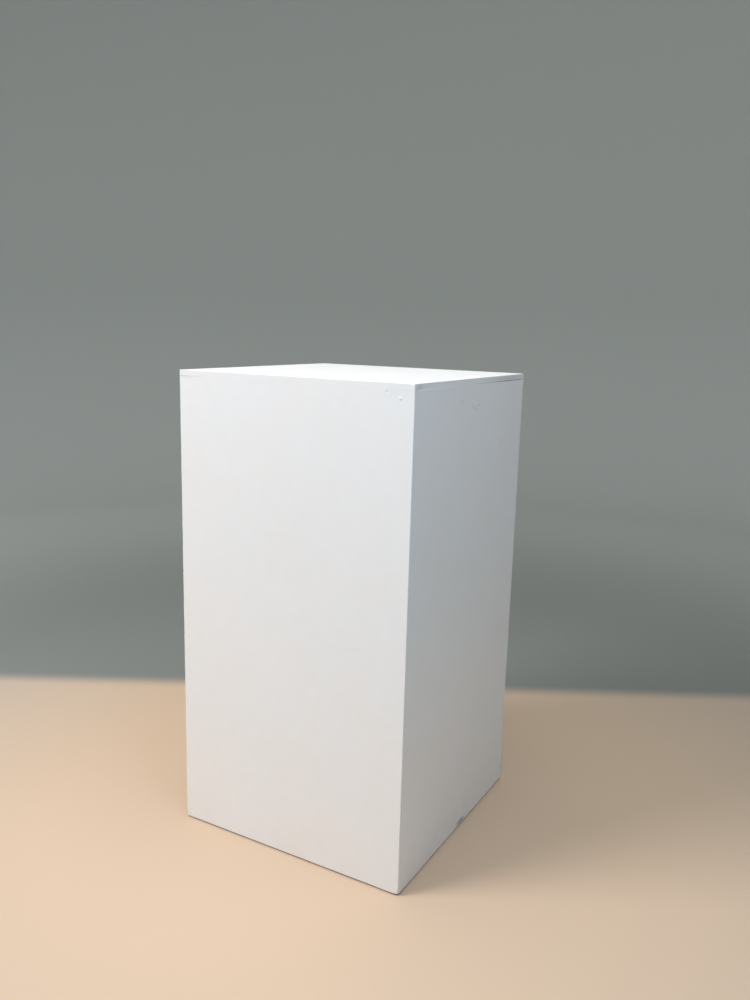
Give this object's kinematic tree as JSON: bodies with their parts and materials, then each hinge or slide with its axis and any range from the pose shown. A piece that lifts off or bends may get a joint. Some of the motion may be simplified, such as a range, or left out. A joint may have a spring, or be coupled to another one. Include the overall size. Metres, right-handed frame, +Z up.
{
  "type": "display plinth",
  "caption": "Square painted box plinth with a flat top for showing an object, built of sheet panels screwed to a softwood frame and open underneath.",
  "frame": {"origin": "middle of the square footprint, at floor level", "axes": "+Z up, -Y out of the front wall, +X out of the right wall"},
  "size_m": [0.54, 0.54, 1],
  "materials": {
    "painted_panel": "12 mm MDF, white satin emulsion put on with a roller and brush",
    "softwood": "planed, unfinished pine",
    "zinc_steel": "bright zinc plate",
    "glide_nylon": "moulded grey nylon"
  },
  "bodies": {
    "root": {"back_panel": "painted_panel", "base_glide_back_left": "glide_nylon", "base_glide_back_right": "glide_nylon", "base_glide_front_left": "glide_nylon", "base_glide_front_right": "glide_nylon", "base_rail_back": "softwood", "base_rail_front": "softwood", "base_rail_left": "softwood", "base_rail_right": "softwood", "corner_post_back_left": "softwood", "corner_post_back_right": "softwood", "corner_post_front_left": "softwood", "corner_post_front_right": "softwood", "front_panel": "painted_panel", "glide_nail_back_left": "zinc_steel", "glide_nail_back_right": "zinc_steel", "glide_nail_front_left": "zinc_steel", "glide_nail_front_right": "zinc_steel", "left_panel": "painted_panel", "lid_screw_back": "zinc_steel", "lid_screw_front": "zinc_steel", "lid_screw_left": "zinc_steel", "lid_screw_right": "zinc_steel", "right_panel": "painted_panel", "top_panel": "painted_panel", "top_rail_back": "softwood", "top_rail_front": "softwood", "top_rail_left": "softwood", "top_rail_right": "softwood", "wall_screw_back_base_left": "zinc_steel", "wall_screw_back_base_mid": "zinc_steel", "wall_screw_back_base_right": "zinc_steel", "wall_screw_back_top_left": "zinc_steel", "wall_screw_back_top_mid_left": "zinc_steel", "wall_screw_back_top_mid_right": "zinc_steel", "wall_screw_back_top_right": "zinc_steel", "wall_screw_front_base_left": "zinc_steel", "wall_screw_front_base_mid": "zinc_steel", "wall_screw_front_base_right": "zinc_steel", "wall_screw_front_top_left": "zinc_steel", "wall_screw_front_top_mid_left": "zinc_steel", "wall_screw_front_top_mid_right": "zinc_steel", "wall_screw_front_top_right": "zinc_steel", "wall_screw_left_base_left": "zinc_steel", "wall_screw_left_base_mid": "zinc_steel", "wall_screw_left_base_right": "zinc_steel", "wall_screw_left_top_left": "zinc_steel", "wall_screw_left_top_mid_left": "zinc_steel", "wall_screw_left_top_mid_right": "zinc_steel", "wall_screw_left_top_right": "zinc_steel", "wall_screw_right_base_left": "zinc_steel", "wall_screw_right_base_mid": "zinc_steel", "wall_screw_right_base_right": "zinc_steel", "wall_screw_right_top_left": "zinc_steel", "wall_screw_right_top_mid_left": "zinc_steel", "wall_screw_right_top_mid_right": "zinc_steel", "wall_screw_right_top_right": "zinc_steel"}
  },
  "joints": []
}
